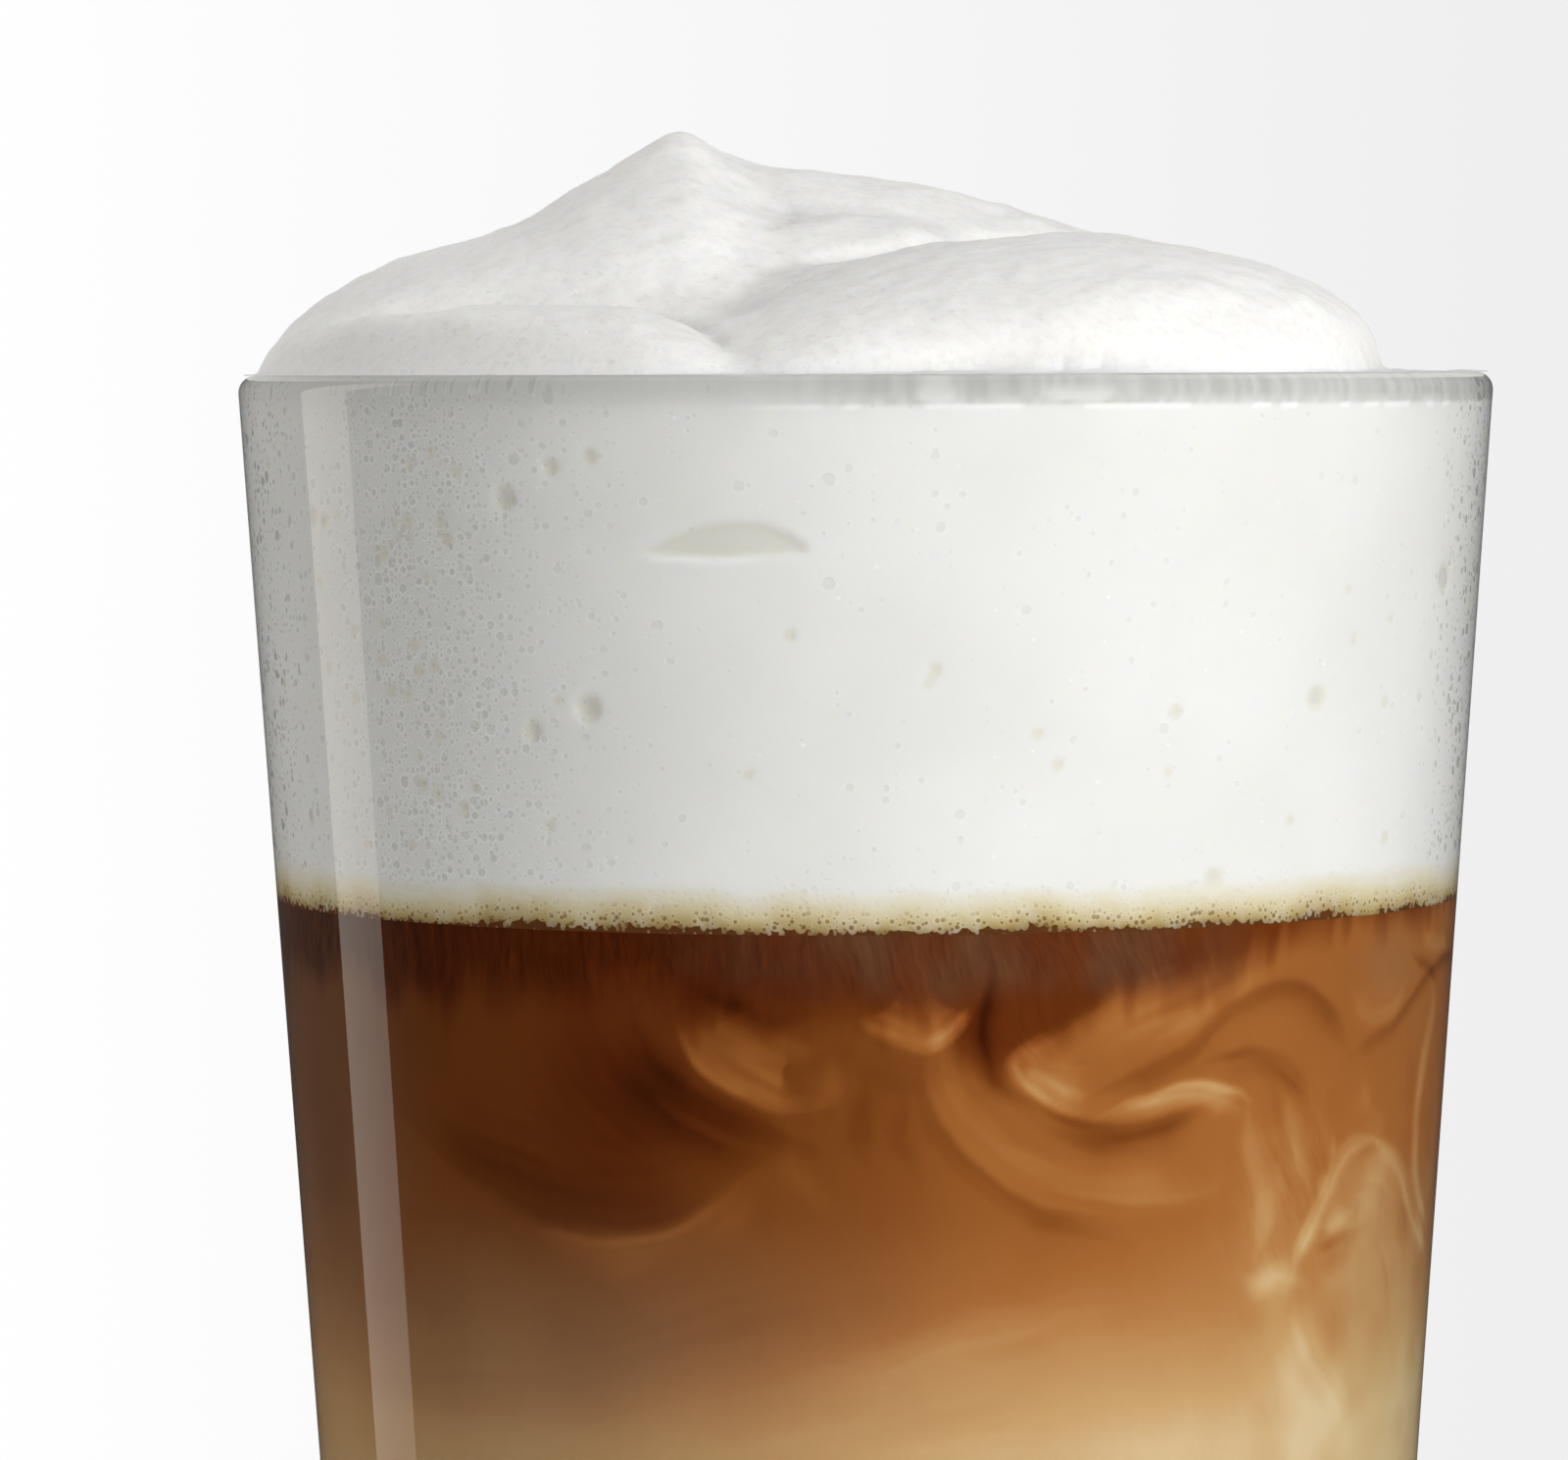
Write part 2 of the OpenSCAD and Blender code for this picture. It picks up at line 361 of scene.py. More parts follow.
def foam_material():
    """Wet milk foam: soft, white, with bubbles, and stained by the coffee at its lower edge. Painted shade
    and painted highlights are mixed into its colour.
    """
    n = Nodes(bpy.data.materials.new("milk_foam"))
    place = n.add("ShaderNodeTexCoord").outputs["Object"]
    crowd = n.value("crowd")
    stain = n.value("stain")
    hollow = n.value("hollow")
    steep = n.value("steep")
    painted_shade = n.value("painted_shade")
    gleam = n.value("gleam")
    spread = n.vector("spread")
    colour = n.ramp(n.noise(place, 90.0, 3.0), [(0.35, (0.86, 0.852, 0.83)), (0.65, (0.90, 0.892, 0.872))])
    patch = n.remap(n.noise(place, 230.0, 2.0), 0.30, 0.62)
    share = n.times(crowd, n.plus(n.times(patch, 0.6), 0.4))
    tiny, tiny_line = bubbles(n, spread, 2.3, n.minus(crowd, 0.03), 0.46, 0.16)
    small, small_line = bubbles(n, spread, 1.45, n.times(share, 0.75), 0.46, 0.12)
    big_share = n.times(share, n.remap(steep, 0.0, 0.5, 0.28, 0.8))
    big, big_line = bubbles(n, spread, 0.8, big_share, 0.36, 0.07)
    inside = n.larger(n.larger(n.times(tiny, 0.7), small), big)
    outline = n.larger(n.larger(n.times(tiny_line, 0.6), small_line), big_line)
    colour = n.mix(n.times(crowd, 0.10), colour, FOAM_SHADE)
    # the heap is airier than the foam in the glass
    height_above = n.add("ShaderNodeSeparateXYZ", {0: place}).outputs[2]
    airy = n.remap(height_above, (GLASS_H - 0.5) * MM, (GLASS_H + 0.5) * MM)
    mottle = n.remap(n.noise(place, 1500.0, 4.0, 0.65), 0.55, 0.35, 0.0, 0.11)
    colour = n.mix(n.times(mottle, airy), colour, FOAM_SHADE)
    clear = n.remap(crowd, 0.05, 0.8, 0.35, 1.0)
    # painted shade inside the bubbles, whose hollows against the glass lie in shade
    colour = n.mix(n.times(inside, n.times(clear, 0.32)), colour, BUBBLE_SHADE)
    colour = n.mix(n.times(outline, n.times(clear, 0.8)), colour, BUBBLE_OUTLINE)
    # painted shade: darker in the heap's creases and hollows, and on the round of the rim
    colour = n.mix(n.times(painted_shade, 0.35), colour, CAVITY_SHADE)
    # painted highlights: tiny glints on the small bubbles, and the bright lines that the gleam values mark
    sparks, _ = bubbles(n, spread, 0.45, 0.22, 0.065, 0.03)
    colour = n.mix(n.larger(gleam, n.times(sparks, 0.8)), colour, GLEAM)
    # painted shade: at the glass's left and right, where they are seen almost edge on, the bubbles are
    # painted dark
    colour = n.mix(n.times(inside, steep), colour, EDGE_ON_SHADE)
    # painted shade: big bubbles and gaps are painted a darker cream, the shade inside these hollows
    colour = n.mix(n.times(hollow, 0.65), colour, HOLLOW_SHADE)
    # the lowest foam holds coffee, and between its last bubbles the coffee comes through
    cloudy = n.noise(place, 700.0, 3.0)
    stained = n.times(n.remap(stain, 0.0, 0.3), n.remap(cloudy, 0.25, 0.6, 0.75, 1.0))
    colour = n.mix(stained, colour, n.ramp(stain, CREMA_RAMP))
    froth, froth_line = bubbles(n, spread, 2.3, 0.85, 0.42, 0.16)
    froth = n.times(froth, n.remap(stain, 0.4, 0.9))
    colour = n.mix(n.times(froth, 0.85), colour, FROTH_INSIDE)
    froth_line = n.times(froth_line, n.remap(stain, 0.2, 0.5))
    froth_line = n.times(froth_line, n.remap(stain, 0.95, 0.6))
    colour = n.mix(n.times(froth_line, 0.35), colour, FROTH_OUTLINE)
    last_cells = n.cells(spread, 1.9).outputs["Distance"]
    film = n.remap(stain, 1.0, 0.86, 0.12, 0.85, smooth=False)
    through = n.remap(n.minus(last_cells, film), -0.05, 0.05)
    through = n.times(through, n.math("GREATER_THAN", stain, 0.86))
    colour = n.mix(through, colour, COFFEE_THROUGH)
    height = n.minus(1.0, n.times(inside, 0.7))
    grain = n.times(n.noise(place, 2200.0, 3.0, 0.6), n.plus(n.times(airy, 0.5), 0.3))
    height = n.plus(height, grain)
    normal = n.bump(height, 0.4, 0.00010)
    foam = n.add("ShaderNodeBsdfPrincipled", {
        "Base Color": colour, "Roughness": 0.55, "Subsurface Weight": 0.6,
        "Subsurface Radius": (1.0, 0.85, 0.7), "Subsurface Scale": 0.0012,
        "Specular IOR Level": 0.0, "Normal": normal}, subsurface_method="RANDOM_WALK")
    return n.finish(foam.outputs[0])


# From black coffee at 0 to creamy milk at 1
DRINK_RAMP = [
    (0.00, (0.045, 0.009, 0.002)),
    (0.15, (0.110, 0.024, 0.004)),
    (0.30, (0.165, 0.043, 0.007)),
    (0.45, (0.260, 0.080, 0.016)),
    (0.60, (0.370, 0.130, 0.030)),
    (0.72, (0.460, 0.205, 0.065)),
    (0.86, (0.570, 0.340, 0.140)),
    (1.00, (0.700, 0.530, 0.310)),
]


def drink_material():
    """Coffee marbled into milk. The mesh says how milky each place is, and nodes add the fine wisps."""
    n = Nodes(bpy.data.materials.new("latte"))
    milky = n.value("milky")
    red = n.value("red")
    grey = n.value("grey")
    flow = n.vector("flow")
    hair = n.value("hair")
    strands = n.minus(n.noise(flow, 1.0, 4.0, 0.6), 0.5)
    fine = n.minus(n.noise(flow, 3.4, 3.0, 0.65), 0.5)
    wisps = n.times(n.plus(strands, n.times(fine, 0.7)), hair)
    mixed = n.math("ADD", milky, n.times(wisps, 2.2), clamp=True)
    colour = n.ramp(mixed, DRINK_RAMP)
    colour = n.mix(red, colour, n.mix(1.0, colour, (0.75, 0.40, 0.45, 1), "MULTIPLY"))
    dull = n.add("ShaderNodeHueSaturation", {"Color": colour, "Saturation": 0.68, "Value": 0.98}).outputs[0]
    dull = n.mix(1.0, dull, (1.0, 0.96, 0.64, 1), "MULTIPLY")
    colour = n.mix(grey, colour, dull)
    drink = n.add("ShaderNodeBsdfPrincipled", {
        "Base Color": colour, "Roughness": 0.5, "Specular IOR Level": 0.0})
    return n.finish(drink.outputs[0])


# ---------------------------------------------------------------- the glass


def arc(centre, radius, start, end, count):
    """Points (r, z) on an arc of a profile, angles in degrees from outwards towards up."""
    a = np.radians(np.linspace(start, end, count))
    return [(centre[0] + radius * math.cos(t), centre[1] + radius * math.sin(t)) for t in a]


def corner_c(floor_z, wall_r, radius):
    """Centre of a circle in the corner between a level floor and the leaning wall."""
    return wall_r(floor_z + radius) - radius / math.cos(HALF_ANGLE), floor_z + radius


def between(start, end):
    """Points along the straight wall from start to end, without its two ends."""
    return [(start[0] + (end[0] - start[0]) * t, start[1] + (end[1] - start[1]) * t)
            for t in np.linspace(0, 1, 30)[1:-1]]


def glass_profile():
    """The glass's section as (r, z): from the middle of the foot, up over the rim, to the floor inside."""
    lean = math.degrees(HALF_ANGLE)
    punt_sphere_r = (PUNT_R ** 2 + PUNT_H ** 2) / (2 * PUNT_H)
    punt_angle = math.degrees(math.asin(PUNT_R / punt_sphere_r))
    profile = arc((0, PUNT_H - punt_sphere_r), punt_sphere_r, 90, 90 - punt_angle, 16)
    profile[0] = (0, PUNT_H)
    foot = corner_c(0, outer_r, FOOT_CORNER_R)
    profile += [(PUNT_R + 1.0, 0), (foot[0] - 1.0, 0)]
    profile += arc(foot, FOOT_CORNER_R, -90, -lean, 10)
    lip_arc = arc((LIP_C_R, GLASS_H - LIP_R), LIP_R, -lean, 180 - lean, 25)
    profile += between(profile[-1], lip_arc[0]) + lip_arc
    corner = corner_c(FLOOR_Z, inner_r, FLOOR_CORNER_R)
    corner_arc = arc(corner, FLOOR_CORNER_R, -lean, -90, 12)
    profile += between(profile[-1], corner_arc[0]) + corner_arc
    profile += [(corner[0] * t, FLOOR_Z) for t in (0.75, 0.5, 0.25)]
    profile.append((0, FLOOR_Z))
    return profile


def build_glass(material):
    """The whole glass, turned round its axis."""
    profile = glass_profile()
    columns = 288
    az = np.linspace(0, 360, columns, endpoint=False)
    rows = [round_points(az, r, z) for r, z in profile[1:-1]]
    points = np.concatenate(rows + [[(0, 0, profile[0][1])], [(0, 0, profile[-1][1])]])
    piece = make_piece("glass_body", points, closed_faces(len(rows), columns), material)
    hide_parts("glass")


# ---------------------------------------------------------------- the heap of foam


def dome(x, y, centre, half, turn, rise, square, full):
    """A dome over an oval. square squares the oval off and full rounds the dome's shoulder."""
    c, s = math.cos(math.radians(turn)), math.sin(math.radians(turn))
    u = ((x - centre[0]) * c + (y - centre[1]) * s) / half[0]
    v = ((y - centre[1]) * c - (x - centre[0]) * s) / half[1]
    q = (np.abs(u) ** square + np.abs(v) ** square) ** (1 / square)
    inside = rise * np.clip(1 - q * q, 0, 1) ** full
    return np.where(q < 1, inside, -1.2 * rise * (q - 1))


def head_z(x, y):
    """Height of the foam above the rim at (x, y): the CAD model's lobes, with a few more folds."""
    body = dome(x, y, (-3.5, 0.5), (36, 39.2), 0, 7.3, 2.1, 0.42)
    shoulder = dome(x, y, (-20, 5), (19.4, 26), 0, 9.6, 2, 0.66)
    roll = dome(x, y, (-20, -22), (22.5, 13.5), -24, 4.3, 2.6, 0.42)
    dx = (x - TIP_X) * np.where(x > TIP_X, 1.75, 1)
    tip = TIP_H + 0.66 * (2 - np.sqrt(dx ** 2 + ((y - 3) / 1.35) ** 2 + 4))
    lobe = dome(x, y, (7.7, -8), (24.7, 29), 8, 9.1, 2.24, 0.4) - 0.0050 * np.clip(17 - x, 0, None) ** 2
    along = x + 11
    crest_y = 7 + 0.12 * along
    front = np.clip((crest_y - y) / 12, 0, None)
    back = np.clip((y - crest_y) / 16, 0, None)
    tongue = (14.4 - 0.025 * along - 0.0061 * along ** 2 - 8.6 * front ** 2.2 - 6 * back ** 2
              - 0.24 * np.clip(-along, 0, None) ** 1.5 - 0.3 * np.exp(-((x + 6) / 4) ** 2))
    # the tongue's round end bulges forwards beside the tip
    bulge = dome(x, y, (0.5, -2.5), (15.5, 13), 0, 11.0, 2.2, 0.45) - 0.12 * np.clip(x + 4, 0, None)
    tongue = blend_max(tongue, bulge, 6.5) - 0.2
    hollow = 0.4 * spot(x, y, (-6, -17), (9, 10))
    # the slope sinks behind the roll, which then stands proud of it and falls to the rim at its right end
    behind_roll = 2.7 * step(-11, -22, y) * step(1, -14, x)
    roll = roll - 0.24 * np.clip(x + 14.5, 0, None)
    z = blend_max(blend_max(body, shoulder, 2), tip, 1.6) - behind_roll
    lower = blend_max(z, lobe, 2.4) - hollow
    upper = blend_max(lower, tongue, 0.4 + 3.6 * step(0, -8, x))
    z = blend_max(upper, roll, 0.3 + 0.9 * step(-13, -4, x))
    # the creases where the tongue and the roll lie against the rest
    z = z - (0.75 * np.exp(-((tongue - lower) / 0.5) ** 2) * step(2, 5, lower)
             * step(1, 5, crest_y - y) * step(-7, -1, x))
    z = z - 0.38 * np.exp(-((roll - upper) / 0.4) ** 2) * step(1.0, 2.2, upper)
    edge = SKIN + 1.42 * np.clip(FOAM_EDGE_R - np.hypot(x, y), 0, None)
    return np.maximum(SKIN, blend_min(z, edge, 1.6))


def disc_grid(count):
    """An even grid of points over the unit disc, from a square grid pressed to a round."""
    side = np.linspace(-1, 1, count)
    u, v = np.meshgrid(side, side)
    return u * np.sqrt(1 - v * v / 2), v * np.sqrt(1 - u * u / 2)


def hollows(heights, reach, depth):
    """How far each place of a height grid lies under its surroundings, from 0 to 1 at the given depth."""
    smooth = heights
    width = 2 * reach + 1
    for axis in (0, 1):
        margins = [(reach, reach) if k == axis else (0, 0) for k in (0, 1)]
        padded = np.pad(smooth, margins, mode="edge")
        places = np.arange(heights.shape[axis])
        smooth = sum(np.take(padded, places + k, axis=axis) for k in range(width)) / width
    return np.clip((smooth - heights) / depth, 0, 1)


def build_foam_heap(material):
    """The foam above the rim, as a closed piece that rests on the foam in the glass."""
    count = 270
    u, v = disc_grid(count)
    x, y = u * FOAM_EDGE_R, v * FOAM_EDGE_R
    z = head_z(x, y)
    from_edge = FOAM_EDGE_R - np.hypot(x, y)
    smooth = vectors(x, y, z)
    uneven = 0.22 * noise(smooth, 4.0, 11) + 0.10 * noise(smooth, 1.6, 12) + 0.05 * noise(smooth, 0.8, 13)
    z = z + step(0.0, 2.5, from_edge) * uneven
    top = vectors(x, y, GLASS_H + z).reshape(-1, 3)
    grid = np.arange(count * count).reshape(count, count)
    a, b, c, d = grid[:-1, :-1], grid[:-1, 1:], grid[1:, 1:], grid[1:, :-1]
    faces = np.stack([a, b, c, d], axis=-1).reshape(-1, 4).tolist()
    border = np.concatenate([grid[0, :-1], grid[:-1, -1], grid[-1, :0:-1], grid[:0:-1, 0]])
    edge = top[border]
    # the skirt goes down onto the rim, in over it and down inside the glass
    skirt = []
    for r, height in ((FOAM_EDGE_R - 0.05, 0.02), (LIP_C_R, 0.02), (LIP_C_R - 1.5, 0.0),
                      (LIP_C_R - 1.8, -SKIRT_DEPTH)):
        ring = edge * (r / np.hypot(edge[:, 0], edge[:, 1]))[:, None]
        ring[:, 2] = GLASS_H + height
        skirt.append(ring)
    points = np.concatenate([top] + skirt + [[(0, 0, GLASS_H - SKIRT_DEPTH)]])
    size = len(border)
    rings = [border] + [len(top) + k * size + np.arange(size) for k in range(len(skirt))]
    for upper, lower in zip(rings, rings[1:]):
        for i in range(size):
            j = (i + 1) % size
            faces.append((upper[i], lower[i], lower[j], upper[j]))
    centre = len(points) - 1
    for i in range(size):
        faces.append((rings[-1][i], centre, rings[-1][(i + 1) % size]))
    piece = make_piece("foam_heap", points, faces, material)
    # a few bubbles show on the front roll
    crowd = 0.02 + 0.14 * step(-6, 4, -points[:, 1] - 14) * step(12, -4, points[:, 0])
    add_values(piece, "crowd", crowd)
    # painted shade: how far each place lies in a crease or hollow of the heap, where less light reaches
    painted_shade = np.zeros(len(points))
    sunk = 0.8 * hollows(z, 3, 0.25) + 0.3 * hollows(z, 9, 1.2) + 0.1 * hollows(z, 24, 2.4)
    painted_shade[:count * count] = (sunk * step(0, 6, from_edge)).ravel()
    add_values(piece, "painted_shade", painted_shade)
    add_vectors(piece, "spread", vectors(points[:, 0], points[:, 1] + points[:, 2], 0.0))
    for label in ("stain", "hollow", "steep", "gleam"):
        add_values(piece, label, np.zeros(len(points)))
    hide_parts("foam")


# ---------------------------------------------------------------- the foam in the glass

SCATTERED_BUBBLES = 90           # how many more are scattered, and the seed of their places
BUBBLE_SEED = 7

# Large bubbles against the glass: azimuth, height and radius
BUBBLES = [
    (-35, 132.6, 0.9), (-30, 134.5, 0.65), (-26, 135.1, 0.6), (-47, 131.1, 0.6), (-42, 130.0, 0.6),
    (-62, 131.3, 0.7), (-27, 119.7, 1.0), (-33, 118.3, 0.75), (-47, 123.4, 0.5), (-47, 114.7, 0.6),
    (-45, 114.2, 0.55), (46, 119.9, 0.9), (34, 108.9, 0.85), (68, 127.0, 1.1), (-21, 107.3, 0.5),
    (-16, 106.7, 0.45),
]


def bubble_field(azimuth, z, rng):
    """How deep (mm) and how hollow (0 to 1) the foam's side is at each place."""
    depth = np.zeros_like(z)
    hollow = np.zeros_like(z)
    listed = list(BUBBLES)
    for _ in range(SCATTERED_BUBBLES):
        # crowded at the front left, sparse elsewhere
        a = rng.normal(-48, 14) if rng.random() < 0.4 else rng.uniform(-180, 180)
        listed.append((a, rng.uniform(COFFEE_TOP_Z + 1, GLASS_H - 4), 0.35 + 0.25 * rng.random() ** 2))
    for a, h, r in listed:
        along = np.radians(wrap(azimuth - a)) * inner_r(h)
        q = np.hypot(along, z - h) / r
        near = q < 1.3
        cup = np.clip(1 - q[near] ** 2, 0, 1)
        depth[near] = np.maximum(depth[near], 0.22 * r * cup)
        hollow[near] = np.maximum(hollow[near], 0.8 * step(1.1, 0.7, q[near]))
    # one long gap with an arched top, a nearly flat bottom and a thin left end
    along = np.radians(wrap(azimuth - GAP_AZ)) * inner_r(130)
    top = 131.5 - np.where(along > 1.5, 0.10, 0.05) * (along - 1.5) ** 2
    bottom = 128.9 + 0.05 * np.abs(along)
    inside = step(0, 0.6, top - z) * step(-0.1, 0.35, z - bottom) * step(5.9, 4.9, along)
    depth = np.maximum(depth, 0.18 * inside)
    hollow = np.maximum(hollow, 0.65 * inside)
    return depth, hollow


def build_foam_plug(material):
    """The foam inside the glass, down to the coffee."""
    heights = np.linspace(COFFEE_TOP_Z, GLASS_H - LIP_R, 123)
    heights = np.concatenate([heights, GLASS_H - np.array([0.85, 0.6, 0.35, 0.2, 0.1])])
    a, z = np.meshgrid(azimuths(0.40, 1.0), heights)
    depth, hollow = bubble_field(wrap(a), z, np.random.default_rng(BUBBLE_SEED))
    into_lip = np.clip(z - (GLASS_H - LIP_R), 0, None)
    r = np.where(into_lip > 0, LIP_C_R - np.sqrt(LIP_R ** 2 - into_lip ** 2), inner_r(z)) + REACH - depth
    side = round_points(a, r, z).reshape(-1, 3)
    rows, columns = a.shape
    points = np.concatenate([side, [(0, 0, COFFEE_TOP_Z)], [(0, 0, heights[-1])]])
    piece = make_piece("foam_plug", points, closed_faces(rows, columns), material)
    az_all = wrap(a).ravel()
    z_all = z.ravel()
    aside = np.abs(az_all)
    left_swarm = np.exp(-((az_all + 46) / 14) ** 2)
    # where the side is seen almost edge on: more big bubbles, and painted shade on them
    steep = 0.42 * step(60, 80, aside) * step(108, 88, aside)
    crowd = 0.05 + 0.80 * left_swarm + 0.33 * step(60, 76, aside) * step(112, 96, aside)
    crowd = np.maximum(crowd, 0.7 * step(COFFEE_TOP_Z + 4, COFFEE_TOP_Z + 1, z_all))
    stain = np.clip(1 - (z_all - COFFEE_TOP_Z) / 3.2 + 0.12 * noise(side, 2.5, 21), 0, 1)
    # painted shade: the foam under the round of the rim is painted greyer in small cells, except at two
    # white blobs
    across = np.radians(az_all) * DRINK_R
    cells = 1.05 + 0.5 * noise(vectors(across * 2.4, z_all * 1.1, 0.0), 1.0, 22)
    greyer = step(-50, -30, az_all) * (0.15 + 0.85 * step(-12, 4, az_all))
    rim_shade = cells * greyer * step(GLASS_H - 1.9, GLASS_H - 1.6, z_all)
    for az_blob, half_wide, half_tall in ((5.7, 1.0, 0.45), (18.6, 2.2, 0.25)):
        from_blob = across - math.radians(az_blob) * DRINK_R
        away = np.hypot(from_blob / half_wide, (z_all - GLASS_H + 1.2) / half_tall)
        rim_shade = rim_shade * step(0.8, 1.3, away)
    # painted highlights: a bright broken line under the round of the rim, and the lit lower lip of the long
    # gap
    broken = step(-0.15, 0.25, noise(vectors(across * 0.9, 0.0, 0.0), 1.0, 23))
    gleam = broken * step(-14, -4, az_all) * step(0.22, 0.08, np.abs(z_all - GLASS_H + 1.95))
    from_gap = across - math.radians(GAP_AZ) * DRINK_R
    lip_line = np.exp(-((z_all - 128.75 - 0.05 * np.abs(from_gap)) / 0.16) ** 2)
    gleam = np.maximum(gleam, 0.7 * lip_line * step(4.0, 2.0, np.abs(from_gap + 1)))
    for name, values in (("crowd", crowd), ("stain", stain), ("hollow", hollow.ravel()), ("steep", steep),
                         ("painted_shade", rim_shade), ("gleam", gleam)):
        add_values(piece, name, np.concatenate([values, [0, 0]]))
    spread = vectors(np.radians(mirrored(az_all)) * DRINK_R, z_all, 0.0)
    add_vectors(piece, "spread", np.concatenate([spread, np.zeros((2, 3))]))
    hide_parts("foam")


# ---------------------------------------------------------------- the drink


# How milky the drink is at depths (mm) below the foam: at the left, and how much more at the right
BASE_DEPTHS = [0, 6.5, 12, 18, 24, 32, 45, 100]
BASE_LEFT = [0.26, 0.27, 0.29, 0.33, 0.46, 0.71, 0.86, 1.0]
MORE_RIGHT = [0.30, 0.30, 0.30, 0.27, 0.25, 0.24, 0.12, 0.0]

